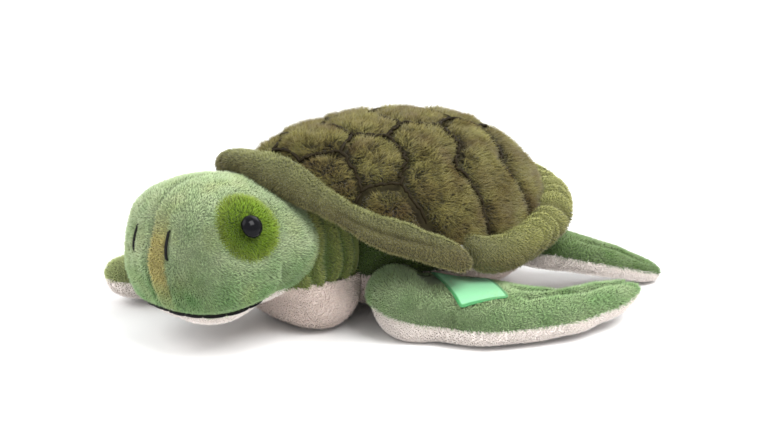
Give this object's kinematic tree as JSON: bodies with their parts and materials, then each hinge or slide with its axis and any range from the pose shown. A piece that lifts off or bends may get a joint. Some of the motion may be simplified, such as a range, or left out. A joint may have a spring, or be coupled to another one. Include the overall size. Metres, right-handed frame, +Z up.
{
  "type": "plush turtle",
  "caption": "Stuffed sea turtle lying on its belly, with a furry domed shell in a padded rolled rim, a turning head and sweeping flippers.",
  "frame": {"origin": "on the flat of the belly, where the turtle lies on the floor, below the middle of the shell", "axes": "+Z up, +Y from the head towards the tail, +X towards the turtle's left side"},
  "size_m": [0.2107, 0.2867, 0.104],
  "materials": {
    "green_plush": "short pile",
    "white_plush": "short pile",
    "shell_fur": "long pile",
    "olive_plush": "short pile",
    "lime_plush": "short pile",
    "wadding": "loose fibre",
    "black_thread": "satin stitch",
    "brown_thread": "matte",
    "eye_black": "polished",
    "washer_white": "matte",
    "green_satin": "satin"
  },
  "bodies": {
    "torso": {"belly_cover": "white_plush", "torso_back_cover": "green_plush", "shell_fur_cover": "shell_fur", "shell_lining": "olive_plush", "scute_stitches": "brown_thread", "rim_front_cover": "olive_plush", "rim_rear_cover": "olive_plush", "torso_filling": "wadding", "shell_wadding": "wadding", "rim_front_wadding": "wadding", "rim_rear_wadding": "wadding"},
    "neck": {"neck_cover": "green_plush", "throat_cover": "white_plush", "neck_filling": "wadding"},
    "head": {"head_left_cover": "green_plush", "head_right_cover": "green_plush", "jaw_cover": "white_plush", "eye_patch_left": "lime_plush", "eye_patch_right": "lime_plush", "eye_left": "eye_black", "eye_right": "eye_black", "eye_washer_left": "washer_white", "eye_washer_right": "washer_white", "nostril_stitch_left": "black_thread", "nostril_stitch_right": "black_thread", "mouth_stitch": "black_thread", "head_filling": "wadding"},
    "front_left_flipper": {"satin_label": "green_satin", "front_left_flipper_top_cover": "green_plush", "front_left_flipper_under_cover": "white_plush", "front_left_flipper_filling": "wadding"},
    "front_right_flipper": {"front_right_flipper_top_cover": "green_plush", "front_right_flipper_under_cover": "white_plush", "front_right_flipper_filling": "wadding"},
    "hind_left_flipper": {"hind_left_flipper_top_cover": "green_plush", "hind_left_flipper_under_cover": "white_plush", "hind_left_flipper_filling": "wadding"},
    "hind_right_flipper": {"hind_right_flipper_top_cover": "green_plush", "hind_right_flipper_under_cover": "white_plush", "hind_right_flipper_filling": "wadding"}
  },
  "joints": [
    {"name": "neck_nod", "type": "hinge", "parent": "torso", "child": "neck", "pos_m": [0, -0.072, 0.042], "axis": [1, 0, 0], "range_deg": [0, 12]},
    {"name": "head_turn", "type": "hinge", "parent": "neck", "child": "head", "pos_m": [0, -0.105, 0.0495], "axis": [0, 0, 1], "range_deg": [-25, 25]},
    {"name": "front_left_sweep", "type": "hinge", "parent": "torso", "child": "front_left_flipper", "pos_m": [0.058, -0.02, 0.0115], "axis": [0, 0, 1], "range_deg": [-60, 5]},
    {"name": "front_right_sweep", "type": "hinge", "parent": "torso", "child": "front_right_flipper", "pos_m": [-0.058, -0.02, 0.0115], "axis": [0, 0, 1], "range_deg": [-75, 0]},
    {"name": "hind_left_sweep", "type": "hinge", "parent": "torso", "child": "hind_left_flipper", "pos_m": [0.042, 0.07, 0.025], "axis": [0, 0, 1], "range_deg": [-30, 12]},
    {"name": "hind_right_sweep", "type": "hinge", "parent": "torso", "child": "hind_right_flipper", "pos_m": [-0.042, 0.07, 0.025], "axis": [0, 0, 1], "range_deg": [-12, 30]}
  ]
}
